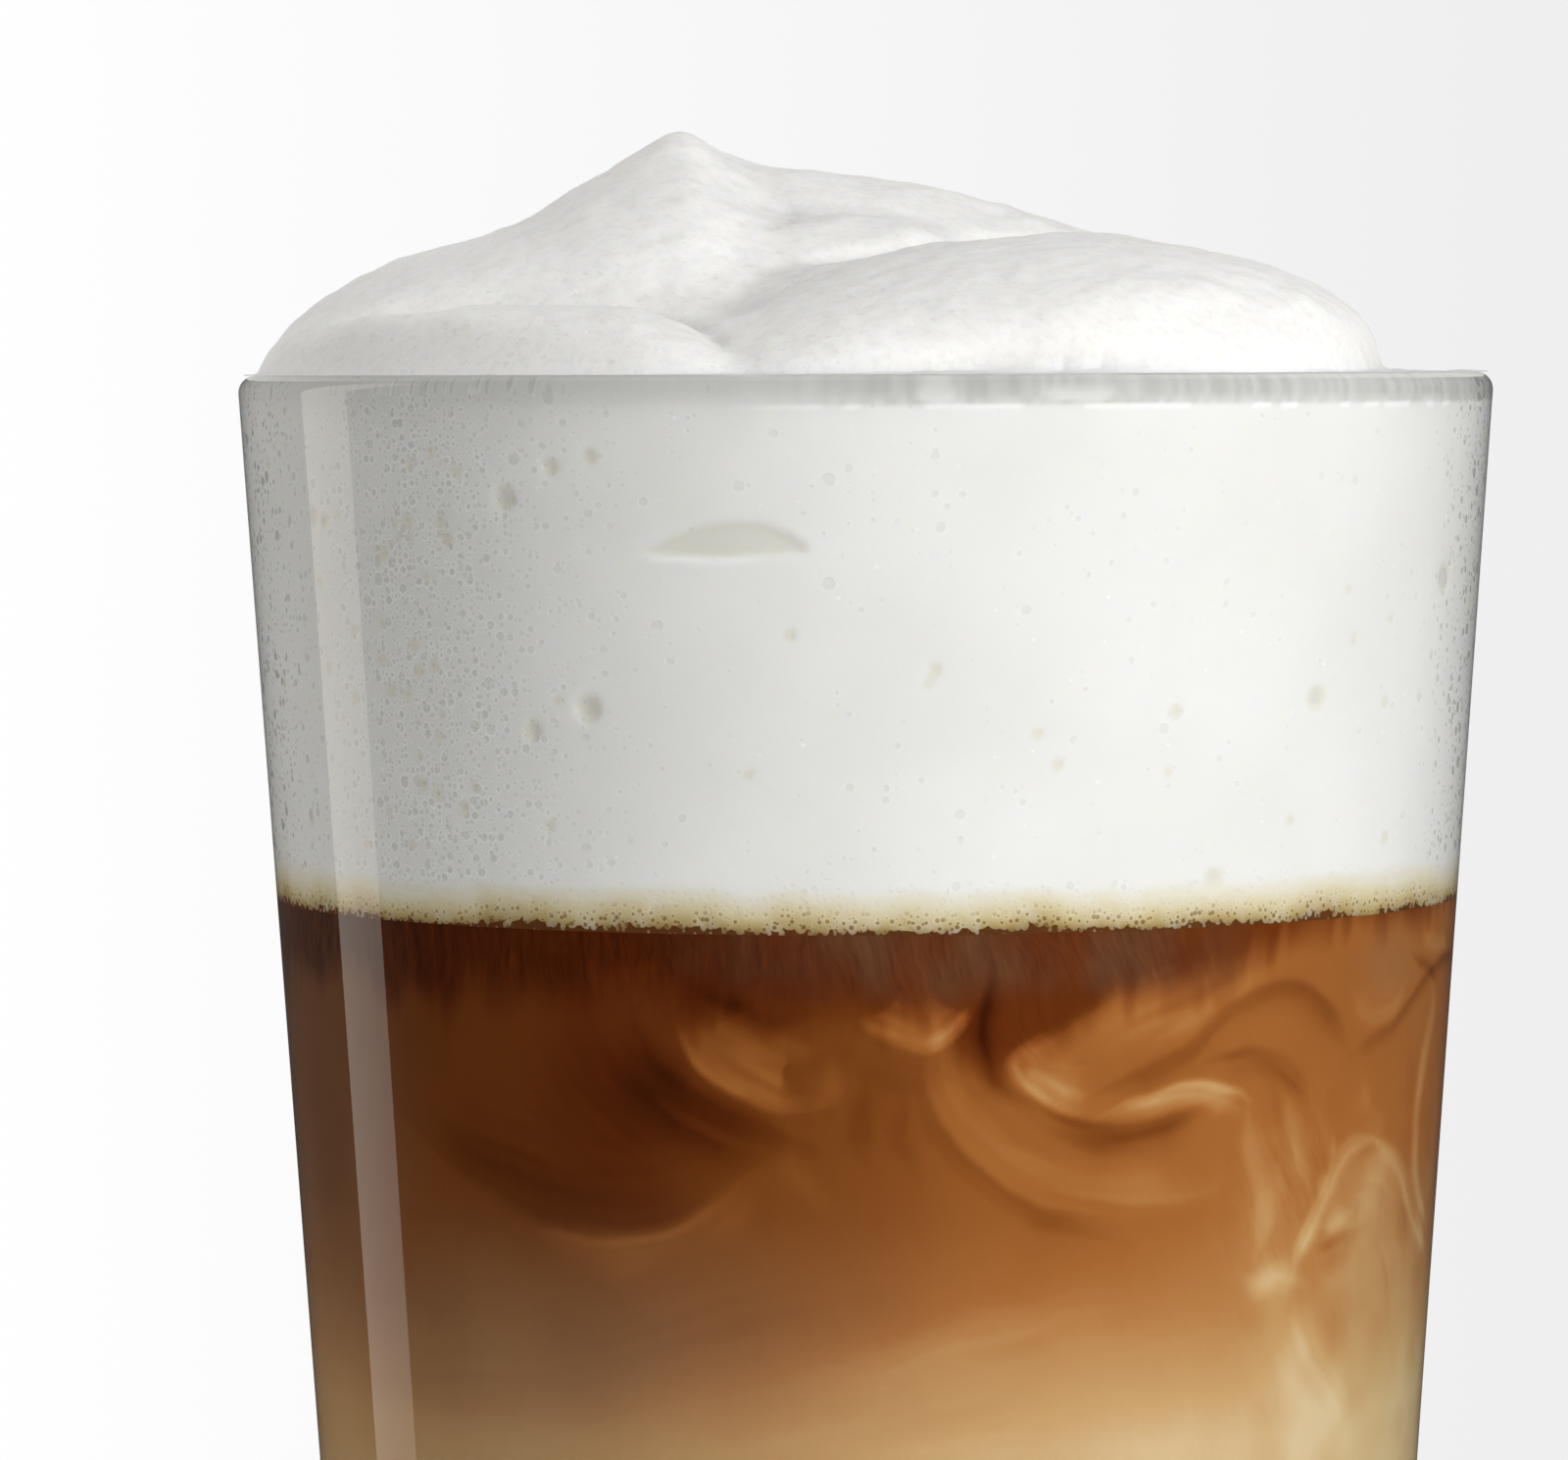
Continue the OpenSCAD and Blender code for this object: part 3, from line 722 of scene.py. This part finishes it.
# Each fold of milk or coffee: its line as (azimuth, height), how much milkier it is, how far it
# fades to its left and to its right (mm) as the line runs, and its length of taper at the ends
FOLDS = [
    # the golden hook on the left of the middle, with dark coffee outside it and within it
    ([(-19.5, 101.5), (-18, 98.8), (-15.2, 96.9), (-12, 95.6), (-9, 94.9), (-6, 95.3)],
     0.24, 3.0, 0.28, 3),
    ([(-18.6, 99.6), (-16.8, 97.8), (-14, 96.3), (-10.5, 95.3)], 0.12, 0.5, 0.25, 2),
    ([(-14, 99.6), (-11.5, 98.4), (-8, 98.6), (-5, 99.4)], 0.10, 0.8, 0.5, 2),
    ([(-6, 95.2), (-4.5, 96.8), (-4.5, 99.0)], 0.08, 1.4, 0.8, 2),
    ([(-23, 101.5), (-21, 98.0), (-17, 95.4), (-12, 93.8), (-6, 92.8)], -0.17, 0.9, 2.6, 5),
    ([(-31, 103.0), (-28, 99.0), (-23, 95.5), (-15, 92.5)], -0.09, 3.0, 5.0, 6),
    ([(-17, 102.2), (-13.5, 101.0), (-9.5, 100.4), (-6, 101.2)], -0.16, 0.9, 0.6, 3),
    # the small bright lip in the middle
    ([(-2.4, 101.4), (-0.8, 100.3), (2, 99.6), (5.5, 99.5), (8.5, 100.4), (10, 101.8)],
     0.26, 1.9, 0.20, 1.5),
    ([(-1.8, 100.9), (0, 100.2), (2.5, 99.8)], 0.16, 0.4, 0.15, 1),
    ([(-3, 99.4), (1, 98.4), (4, 98.1), (8, 98.6)], -0.05, 0.8, 2.6, 5),
    # dark upright drifts below the lip
    ([(-1, 98.0), (-1.5, 94.0), (-0.5, 90.5)], -0.07, 0.8, 0.8, 3),
    ([(2.5, 97.0), (2.5, 93.5), (4.5, 90.0)], -0.05, 0.6, 0.9, 3),
    ([(-8, 94.0), (-7, 91.0), (-4, 88.5)], 0.04, 1.0, 1.0, 3),
    # the wide golden arc that sweeps down to the right, with a dark line under it
    ([(5, 100.5), (5.6, 97.6), (7.6, 95.0), (10.6, 92.9), (14.6, 91.2), (20, 89.9), (28, 89.3), (36, 89.6)],
     0.11, 3.4, 0.9, 6),
    ([(4.5, 98.8), (5.3, 96.3), (7.2, 93.9), (10.2, 91.9), (14, 90.2), (19, 88.9), (26, 88.0)],
     0.05, 0.5, 0.25, 5),
    ([(3.4, 98.8), (4.3, 95.8), (6.6, 92.9), (9.6, 90.9), (13.6, 89.2), (18.6, 87.7), (26, 86.4)],
     -0.12, 0.9, 0.45, 6),
    ([(8.5, 98.0), (9.5, 95.5), (12.5, 93.5), (17, 92.4)], -0.05, 0.8, 0.5, 3),
    # the curl in the middle, its dark hollow and the bright streak that leaves it
    ([(11.5, 104.0), (11.0, 101.0), (11.2, 98.6), (12.6, 96.4), (15.6, 94.9)], -0.20, 0.8, 1.2, 3),
    ([(19, 100.4), (15.6, 99.1), (13.7, 98.0), (13.9, 96.8), (15.8, 95.8), (18.6, 95.1), (22, 94.7)],
     0.17, 4.0, 0.22, 2.5),
    ([(16.5, 99.4), (14.3, 98.2), (14.2, 97.0), (16.0, 95.9), (19, 95.2)], 0.10, 0.35, 0.2, 2),
    ([(15.0, 95.7), (18.5, 94.6), (24, 93.9), (30, 94.4), (35, 95.6)], -0.17, 0.3, 1.6, 4),
    ([(17.5, 94.0), (22, 93.2), (28, 93.4)], -0.06, 0.4, 0.8, 4),
    ([(22, 94.8), (26, 95.5), (30, 96.3), (34, 96.6), (38, 96.1), (40, 95.2)], 0.20, 0.30, 1.0, 3),
    ([(24, 94.7), (29, 95.6), (35, 95.8), (40, 94.3)], 0.12, 0.25, 0.8, 3),
    # the broad golden lobe above the curl
    ([(18.5, 98.6), (24, 100.2), (30, 102.0), (38, 104.0)], 0.10, 2.6, 2.4, 6),
    ([(17.5, 99.3), (22, 101.6), (28, 103.4), (36, 105.0)], -0.09, 1.2, 0.4, 4),
    ([(27, 98.4), (31, 100.2), (37, 102.4), (44, 103.8)], 0.08, 0.4, 0.9, 4),
    # the dark arch at the right and the fainter one inside it
    ([(21, 95.9), (24, 96.8), (28, 97.7), (32, 98.9), (35, 100.8), (39, 101.9), (44, 102.4), (47, 102.1),
      (49.5, 101.0), (52, 99.4), (54.6, 97.4)], -0.13, 0.35, 1.2, 4),
    ([(34, 98.0), (38, 98.5), (42, 98.1), (45, 96.9), (47.5, 95.4), (48.6, 93.6)], -0.12, 0.5, 1.3, 3),
    ([(40, 96.6), (43, 95.4), (45, 92.8), (45.6, 90.0), (46, 88.4)], -0.06, 0.5, 0.8, 3),
    # pale strands that hang inside the arch
    ([(39.4, 95.0), (40.2, 92.6), (41.2, 90.4), (42.4, 88.4), (42.2, 86.4), (41.4, 84.4)],
     0.08, 0.9, 0.6, 3),
    ([(44.4, 95.6), (45.6, 93.2), (46.8, 91.2), (48.2, 89.6), (49.2, 88.2)], 0.08, 0.9, 0.9, 3),
    ([(45.2, 92.0), (44.4, 89.8), (43.4, 87.8), (42.8, 85.6)], 0.07, 0.7, 0.9, 3),
    ([(52.2, 92.8), (52.4, 91.4), (51.8, 90.2)], 0.11, 0.35, 0.4, 1.5),
    ([(56.4, 96.4), (57.4, 94.4), (59.6, 93.2)], 0.05, 0.6, 0.6, 2),
    # dark lines that meet near the right edge, and the paler coffee between them
    ([(54.6, 97.4), (58, 98.0), (62, 98.8), (66, 99.9), (70, 101.0), (76, 101.8), (88, 102.2)],
     -0.15, 0.35, 0.7, 2),
    ([(66, 103.2), (68.5, 102.2), (71.5, 101.4), (74.5, 100.4)], -0.12, 0.5, 0.4, 2),
    ([(54, 101.6), (57, 99.8), (61, 99.8), (65, 101.2)], 0.07, 1.4, 1.0, 2),
    ([(68, 105.0), (72, 103.0), (79, 102.6)], 0.10, 0.8, 0.6, 2),
    # a pale strand down the right edge, which joins the peak's outline
    ([(71, 101.2), (73.6, 99.0), (72.2, 96.2), (71.2, 93.2), (71.8, 90.6), (73.6, 88.0), (79, 84.4)],
     0.15, 0.6, 0.9, 3),
    ([(66.5, 97.5), (68.0, 94.0), (69.0, 91.0)], -0.05, 1.0, 1.2, 4),
    # the cream outline of a rounded peak at the right
    ([(46.6, 83.2), (47.4, 85.2), (49.6, 87.4), (51.2, 88.9), (53, 90.6), (55.2, 91.8), (58, 92.0),
      (60.4, 91.4)], 0.22, 0.35, 0.8, 3),
    ([(58.6, 91.9), (62, 90.8), (65.4, 89.8), (68.6, 88.6), (72, 86.4), (76, 84.4), (80, 82.6)],
     0.17, 0.4, 1.1, 3),
    ([(50.2, 88.0), (51.0, 89.2), (52.2, 90.0)], 0.10, 0.5, 0.4, 1),
    # the milky coffee inside the peak, its pale ledge and the darker hole under the ledge
    ([(53.4, 88.2), (57, 89.4), (61, 88.8), (65, 87.4)], 0.10, 1.8, 2.6, 4),
    ([(50.6, 86.6), (52.6, 86.6), (54.6, 86.9), (56.6, 87.4)], 0.10, 0.9, 0.6, 1.5),
    ([(49.4, 85.4), (52, 85.4), (55.4, 85.8), (59, 86.4)], -0.11, 0.5, 1.6, 2.5),
    ([(66, 88.0), (68.4, 86.0), (70, 82.8)], -0.09, 1.2, 1.2, 3),
    ([(51, 83.0), (53.6, 80.6), (54.4, 77.4)], -0.05, 1.0, 1.2, 3),
    ([(61, 85.6), (64.5, 83.0), (66.5, 79.0)], -0.06, 1.6, 1.6, 4),
    # cream at the foot of the peak
    ([(39.6, 83.8), (42.0, 83.0), (45.0, 83.2), (48.6, 83.0)], 0.14, 1.3, 1.1, 2),
    ([(44.4, 83.4), (45.4, 81.0), (48.4, 78.0), (53, 75.0), (58, 71)], 0.07, 2.6, 2.6, 5),
    ([(47.2, 82.6), (48.0, 80.2), (51.5, 77.2)], 0.05, 0.8, 1.0, 3),
    # the dark lens at the lower left, and its lighter lower edge
    ([(-52, 93.4), (-44, 91.2), (-35, 89.2), (-27, 88.1), (-20, 88.4), (-13, 90.4)],
     -0.10, 4.6, 0.45, 6),
    ([(-44, 90.6), (-36, 88.7), (-28, 87.6)], -0.05, 0.6, 0.5, 4),
    ([(-37, 88.0), (-29, 87.1), (-21, 87.2), (-15, 88.8), (-11, 91.0)], 0.09, 0.35, 2.4, 4),
    ([(-31, 86.6), (-24, 86.0), (-18, 86.6)], 0.05, 0.5, 1.2, 4),
    # soft drifts of cream at the bottom
    ([(-22, 73.0), (-8, 74.6), (4, 76.8), (16, 79.0), (28, 80.8), (38, 81.2)], 0.03, 3.5, 4.5, 10),
    ([(-12, 77.4), (2, 79.6), (14, 81.6), (24, 82.4)], 0.05, 1.2, 2.2, 8),
    ([(-60, 76.0), (-40, 77.5), (-20, 80.0), (0, 83.5)], -0.05, 3.0, 3.0, 10),
]


LINE_PIECES = 8                  # straight pieces between two points of a fold's line


def smooth_line(points):
    """A Catmull-Rom curve through the points."""
    p = np.array(points, dtype=float)
    p = np.vstack([2 * p[0] - p[1], p, 2 * p[-1] - p[-2]])
    made = []
    for i in range(1, len(p) - 2):
        for t in np.linspace(0, 1, LINE_PIECES, endpoint=False):
            a = 2 * p[i] + (p[i + 1] - p[i - 1]) * t
            b = (2 * p[i - 1] - 5 * p[i] + 4 * p[i + 1] - p[i + 2]) * t ** 2
            c = (3 * p[i] - p[i - 1] - 3 * p[i + 1] + p[i + 2]) * t ** 3
            made.append((a + b + c) / 2)
    made.append(p[-2])
    return np.array(made)


def add_fold(milky, s, z, fold, number):
    """Adds one fold to the milkiness: a sheet seen edge on, with streaks that run along it."""
    points, amount, left, right, taper = fold
    line = smooth_line([(math.radians(a) * DRINK_R, h) for a, h in points])
    reach = 2.4 * max(left, right)
    near = ((s > line[:, 0].min() - reach) & (s < line[:, 0].max() + reach)
            & (z > line[:, 1].min() - reach) & (z < line[:, 1].max() + reach))
    ps, pz = s[near], z[near]
    best = np.full(ps.shape, np.inf)
    sign = np.zeros(ps.shape)
    where = np.zeros(ps.shape)
    lengths = np.hypot(*np.diff(line, axis=0).T)
    run = np.concatenate([[0], np.cumsum(lengths)])
    for k in range(len(line) - 1):
        d = line[k + 1] - line[k]
        t = np.clip(((ps - line[k, 0]) * d[0] + (pz - line[k, 1]) * d[1]) / (d @ d), 0, 1)
        es, ez = ps - line[k, 0] - t * d[0], pz - line[k, 1] - t * d[1]
        dist = es * es + ez * ez
        closer = dist < best
        best[closer] = dist[closer]
        sign[closer] = (d[0] * ez - d[1] * es)[closer]
        where[closer] = (run[k] + t * lengths[k])[closer]
    ends = step(0, taper, where) * step(0, taper, run[-1] - where)
    width = np.where(sign > 0, left, right) * (0.35 + 0.65 * ends)
    across = np.sqrt(best) * np.where(sign > 0, 1, -1)
    weight = np.exp(-best / width ** 2) * (0.2 + 0.8 * ends)
    streak = noise(vectors(across * 1.5, where * 0.10, 7.3 * number), 0.9, 40)
    broad = noise(vectors(across * 0.6, where * 0.10, 3.1 * number), 0.9, 41)
    milky[near] += amount * weight * (1 + 0.55 * streak + 0.35 * broad)


def drink_fields(azimuth, z):
    """For each place: how milky it is, how red, how grey, how hairy, and the wisps' coordinates."""
    az = mirrored(azimuth)
    points = round_points(azimuth, inner_r(z), z)
    warp_s = 0.9 * noise(points, 9.0, 31) + 0.5 * noise(points, 4.0, 32) + 0.2 * noise(points, 1.7, 33)
    warp_z = 0.9 * noise(points, 9.0, 34) + 0.5 * noise(points, 4.0, 35) + 0.2 * noise(points, 1.7, 36)
    s = np.radians(az) * DRINK_R + 0.6 * warp_s
    zz = z + 0.6 * warp_z
    depth = COFFEE_TOP_Z - zz
    right = step(-30, 40, az)
    milky = np.interp(depth, BASE_DEPTHS, BASE_LEFT) + right * np.interp(depth, BASE_DEPTHS, MORE_RIGHT)
    # the dark band under the foam, which thins out and lifts away at the right
    lower = 4.3 + 0.9 * noise(points, 7.0, 37) + 3.4 * np.exp(-((az - 13) / 7) ** 2)
    lower = lower * (1 - step(22, 50, az))
    wisp_depth = 0.7 * noise(vectors(s * 1.2, 0.15 * zz, 0.0), 1.0, 42)
    wisp_depth = wisp_depth + 0.9 * noise(vectors(s * 0.35, 0.1 * zz, 0.0), 1.0, 43)
    band = step(2.0, -2.0, depth - lower - wisp_depth)
    milky = milky - (0.17 + 0.12 * step(0, 20, az)) * band
    for number, fold in enumerate(FOLDS):
        add_fold(milky, s, zz, fold, number)
    # milkier among the strands, and inside the peak
    milky = milky + 0.07 * spot(az, z, (45, 87), (7, 6))
    milky = milky + 0.11 * spot(az, z, (60, 85.5), (9, 4.5), 4)
    milky = milky + 0.035 * noise(points, 2.2, 39) * step(34, 44, az) * step(96, 92, z)
    # faint billows everywhere
    milky = milky + 0.03 * noise(vectors(s * 0.8, zz * 0.5, warp_s), 5.0, 38)
    red = 0.35 * band + 0.35 * spot(az, z, (-25, 98), (9, 6))
    # greyer coffee at the top right and low down at the right
    grey = 0.35 * spot(az, z, (61, 102.6), (5.5, 2.6))
    grey = np.maximum(grey, 0.35 * step(50, 60, az) * step(92, 86, z))
    # a grey haze under the foam; painted reflection greys the left edge, where the glass mirrors the pale
    # studio, and painted shade greys the coffee low down at the left
    haze = 0.5 + 0.5 * noise(vectors(s * 0.5, zz * 0.12, warp_s), 1.0, 44)
    grey = np.maximum(grey, haze * step(-24, -8, az) * step(42, 25, az) * step(4.8, 2.0, depth))
    grey = np.maximum(grey, 0.7 * step(-46, -62, az))
    grey = np.maximum(grey, 0.85 * step(14, 27, depth) * step(20, -40, az))
    # hair-like wisps hang from the foam, less around the bright lip, and a few show among the strands
    patchy = 0.55 + 0.45 * noise(vectors(s * 0.3, zz * 0.2, 0.0), 1.0, 45)
    by_lip = 1 - 0.75 * spot(az, z, (4, 100), (7, 2.2), 4)
    hair = 0.012 + 0.075 * patchy * by_lip * step(2.5, -0.5, depth - lower) * step(34, 18, az)
    hair = hair + 0.08 * step(4, 2, depth) * step(45, 30, az)
    hair = hair + 0.05 * spot(az, z, (46, 90), (6, 6))
    combed = s + 0.45 * (zz - COFFEE_TOP_Z) * step(-5, 25, az) + 0.35 * warp_s
    flow = vectors(combed * 1.3, zz * 0.20, 0.15 * warp_z)
    return np.clip(milky, 0, 1.05), red, grey, hair, flow


def build_drink(name, material, low_z, high_z, row_step, front_step, back_step, node):
    """One layer of the drink, filled out to the glass. Its rows are row_step apart near its top."""
    start_z = low_z
    rounded = []
    if low_z <= FLOOR_Z + 0.01:
        corner = corner_c(FLOOR_Z, inner_r, FLOOR_CORNER_R)
        rounded = arc(corner, FLOOR_CORNER_R + REACH, -88, -math.degrees(HALF_ANGLE), 10)
        start_z = rounded[-1][1]
    fine_z = max(start_z, high_z - FINE_ROWS)
    levels = np.linspace(start_z, fine_z, int((fine_z - start_z) / 1.5) + 1)[:-1]
    levels = np.concatenate([levels, np.linspace(fine_z, high_z, int((high_z - fine_z) / row_step) + 1)])
    if rounded:
        # the arc ends where the levels start
        levels = levels[1:]
    profile = rounded + [(inner_r(z) + REACH, z) for z in levels]
    az = azimuths(front_step, back_step)
    a, r = np.meshgrid(az, [p[0] for p in profile])
    z = np.meshgrid(az, [p[1] for p in profile])[1]
    side = round_points(a, r, z).reshape(-1, 3)
    rows, columns = a.shape
    points = np.concatenate([side, [(0, 0, profile[0][1])], [(0, 0, high_z)]])
    piece = make_piece(name, points, closed_faces(rows, columns), material)
    milky, red, grey, hair, flow = drink_fields(a, z)
    for label, values in (("milky", milky), ("red", red), ("grey", grey), ("hair", hair)):
        add_values(piece, label, np.concatenate([values.ravel(), [values.mean()] * 2]))
    add_vectors(piece, "flow", np.concatenate([flow.reshape(-1, 3), np.zeros((2, 3))]))
    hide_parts(node)


# ---------------------------------------------------------------- stage, lights and camera


def build_floor():
    """A plain pale floor that fades out a little way from the glass."""
    n = Nodes(bpy.data.materials.new("floor_pale"))
    place = n.add("ShaderNodeTexCoord").outputs["Object"]
    away = n.add("ShaderNodeVectorMath", {0: place}, operation="LENGTH").outputs["Value"]
    matt = n.add("ShaderNodeBsdfDiffuse", {"Color": (0.86, 0.86, 0.86, 1)})
    clear = n.add("ShaderNodeBsdfTransparent")
    fade = n.remap(away, 0.16, 0.40)
    both = n.add("ShaderNodeMixShader", {0: fade, 1: matt.outputs[0], 2: clear.outputs[0]})
    material = n.finish(both.outputs[0])
    columns, rings = 96, [0.1, 0.2, 0.3, 0.42]
    points = [(0, 0, 0)]
    for r in rings:
        points += [(r * math.cos(t), r * math.sin(t), 0)
                   for t in np.linspace(0, 2 * math.pi, columns, endpoint=False)]
    faces = [(0, 1 + i, 1 + (i + 1) % columns) for i in range(columns)]
    for k in range(len(rings) - 1):
        low = 1 + k * columns
        for i in range(columns):
            j = (i + 1) % columns
            faces.append((low + i, low + columns + i, low + columns + j, low + j))
    mesh = bpy.data.meshes.new("floor")
    mesh.from_pydata(points, [], faces)
    mesh.materials.append(material)
    floor = bpy.data.objects.new("floor", mesh)
    bpy.context.scene.collection.objects.link(floor)


# How bright the studio is for soft light, in the glass's reflections, and seen through the glass
AMBIENT = 0.19
MIRRORED_FRONT = 0.01
MIRRORED_BACK = 0.04
THROUGH = 0.60
STUDIO_COLOUR = (1.0, 0.99, 0.965, 1)


def build_world():
    """A pale studio. It looks brighter at the left, and is dimmer where the glass mirrors it."""
    n = Nodes(bpy.data.worlds.new("studio"), "ShaderNodeOutputWorld")
    bpy.context.scene.world = n.owner
    path = n.add("ShaderNodeLightPath")
    way = n.add("ShaderNodeSeparateXYZ", {0: n.add("ShaderNodeTexCoord").outputs["Generated"]})
    seen = n.remap(way.outputs["X"], -0.11, 0.09, 1.0, 0.865, smooth=False)
    # the glass mirrors a dark room in front and a brighter one behind
    mirrored_room = n.remap(way.outputs["Y"], -0.9, 0.9, MIRRORED_FRONT, MIRRORED_BACK, smooth=False)
    surface = n.add("ShaderNodeBackground", {"Color": STUDIO_COLOUR, "Strength": AMBIENT}).outputs[0]
    for ray, colour, strength in (("Is Glossy Ray", STUDIO_COLOUR, mirrored_room),
                                  ("Is Transmission Ray", STUDIO_COLOUR, THROUGH),
                                  ("Is Camera Ray", seen, 1.0)):
        shade = n.add("ShaderNodeBackground", {"Color": colour, "Strength": strength})
        both = n.add("ShaderNodeMixShader", {0: path.outputs[ray], 1: surface, 2: shade.outputs[0]})
        surface = both.outputs[0]
    n.finish(surface)


def area_light(name, azimuth, elevation, distance, size, power, colour=(1, 1, 1), mirrored_in_glass=False):
    """A soft lamp that faces the top of the coffee. Distance and size are in metres, power in watts."""
    lamp = bpy.data.lights.new(name, "AREA")
    lamp.shape = "RECTANGLE"
    lamp.size, lamp.size_y = size
    lamp.energy = power
    lamp.color = colour
    piece = bpy.data.objects.new(name, lamp)
    target = Vector((0, 0, COFFEE_TOP_Z * MM))
    a, e = math.radians(azimuth), math.radians(elevation)
    way = Vector((math.sin(a) * math.cos(e), -math.cos(a) * math.cos(e), math.sin(e)))
    piece.location = target + way * distance
    piece.rotation_euler = way.to_track_quat("Z", "Y").to_euler()
    bpy.context.scene.collection.objects.link(piece)
    piece.visible_camera = False
    piece.visible_glossy = mirrored_in_glass
    piece.visible_transmission = False


def build_lights():
    """Soft lamps at the front right, the front and the back, and one that the glass mirrors."""
    area_light("key", azimuth=38, elevation=26, distance=1.0, size=(0.8, 0.8), power=9.9)
    area_light("fill", azimuth=-6, elevation=15, distance=1.6, size=(1.2, 1.2), power=3.0)
    area_light("back", azimuth=-138, elevation=15, distance=1.0, size=(0.6, 0.8), power=7.0)
    # narrow and upright: the pale streak down the left of the glass
    area_light("strip", azimuth=-114.7, elevation=0, distance=0.9, size=(0.25, 1.6), power=1.35,
               colour=(1.0, 0.90, 0.80), mirrored_in_glass=True)


# The camera: metres to the right and in front of the glass, millimetres above its rim, degrees
CAMERA_X = -0.0053
CAMERA_Y = -0.5
CAMERA_RISE = 1.0
CAMERA_TILT = 2.785
CAMERA_ROLL = 0.2
LENS = 175.2                     # mm, for a picture 36 mm wide


def build_camera():
    """A long lens, level with the rim and tilted slightly down, so that the glass's foot is cut off."""
    camera = bpy.data.cameras.new("camera")
    camera.lens = LENS
    camera.sensor_width = 36.0
    camera.clip_start = 0.01
    piece = bpy.data.objects.new("camera", camera)
    piece.location = (CAMERA_X, CAMERA_Y, (GLASS_H + CAMERA_RISE) * MM)
    piece.rotation_euler = Euler((math.radians(90 - CAMERA_TILT), math.radians(CAMERA_ROLL), 0))
    bpy.context.scene.collection.objects.link(piece)
    bpy.context.scene.camera = piece


# ---------------------------------------------------------------- build

build_camera()
build_world()
build_lights()
build_floor()

build_glass(glass_material())
foam = foam_material()
build_foam_heap(foam)
build_foam_plug(foam)
latte = drink_material()
build_drink("coffee_layer", latte, MILK_TOP_Z, COFFEE_TOP_Z,
            row_step=0.22, front_step=0.36, back_step=0.8, node="coffee")
build_drink("milk_layer", latte, FLOOR_Z, MILK_TOP_Z,
            row_step=0.45, front_step=0.5, back_step=1.0, node="milk")

scene = bpy.context.scene
scene.view_settings.view_transform = "Standard"
